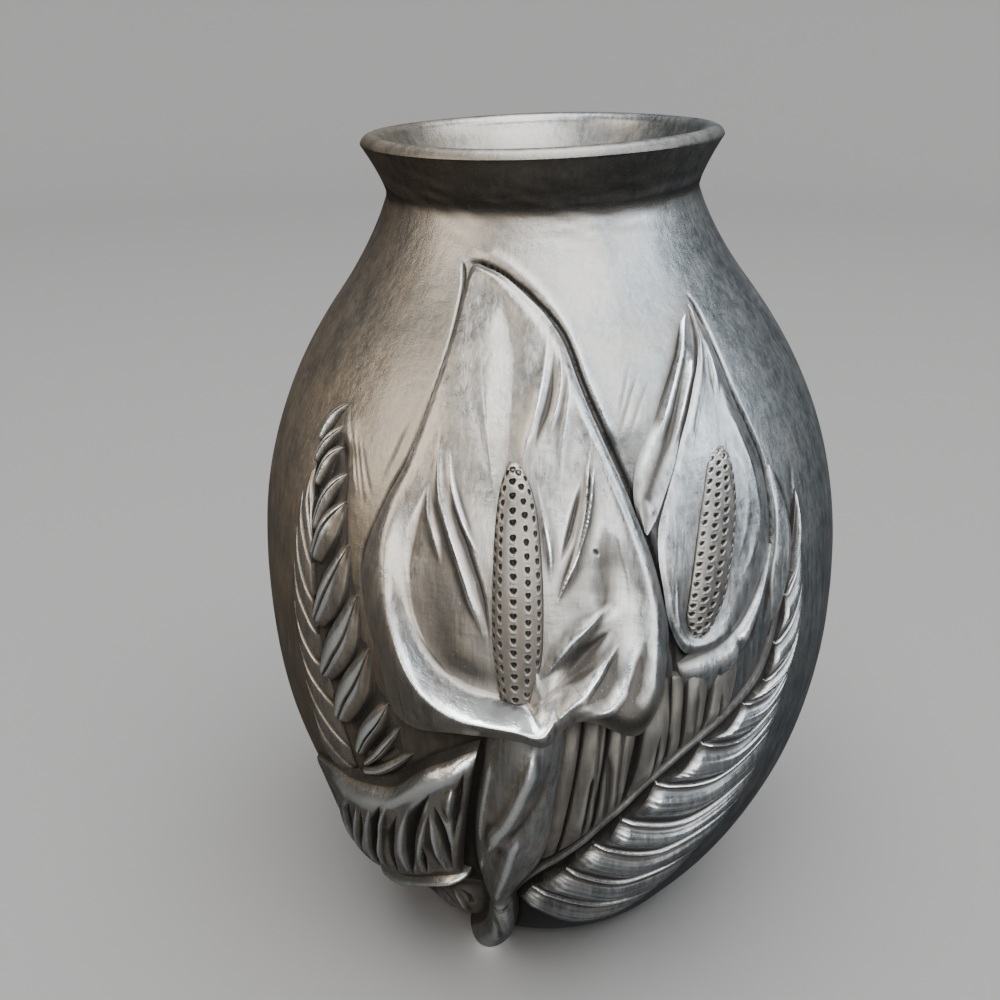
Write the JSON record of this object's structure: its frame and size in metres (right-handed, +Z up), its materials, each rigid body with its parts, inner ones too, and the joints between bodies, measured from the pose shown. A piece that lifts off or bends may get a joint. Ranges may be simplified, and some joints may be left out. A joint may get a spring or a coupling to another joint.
{
  "type": "blackware vase",
  "caption": "Rounded burnished black clay vase with a flared collar and calla lilies and leaves in deep relief on its front, for dry flowers or display.",
  "frame": {"origin": "centre of the flat foot, on the surface that the vase stands on", "axes": "+Z up from the foot, -Y towards the carved front, +X to the right of someone facing the front"},
  "size_m": [0.1441, 0.1537, 0.2002],
  "materials": {
    "burnished_clay": "burnished satin, graphite lustre",
    "relief_clay": "burnished crests, matt grooves"
  },
  "bodies": {
    "root": {"floor_slab": "burnished_clay", "lower_wall": "burnished_clay", "belly_wall": "burnished_clay", "shoulder_wall": "burnished_clay", "neck_wall": "burnished_clay", "neck_collar": "burnished_clay", "large_petal": "relief_clay", "large_lip": "relief_clay", "large_lobe": "relief_clay", "large_spadix": "relief_clay", "large_tube": "relief_clay", "large_stem": "relief_clay", "small_petal": "relief_clay", "small_wing": "relief_clay", "small_spadix": "relief_clay", "small_cup": "relief_clay", "bundle_stem_1": "relief_clay", "bundle_stem_2": "relief_clay", "bundle_stem_3": "relief_clay", "bundle_stem_4": "relief_clay", "bundle_stem_5": "relief_clay", "bundle_stem_6": "relief_clay", "bundle_stem_7": "relief_clay", "right_frond_rib": "relief_clay", "right_frond_blade": "relief_clay", "side_leaf": "relief_clay", "left_frond_inner_blade": "relief_clay", "left_frond_outer_blade": "relief_clay", "pleated_leaf": "relief_clay", "pleated_leaf_hem": "relief_clay", "foot_leaf": "relief_clay"}
  },
  "joints": []
}
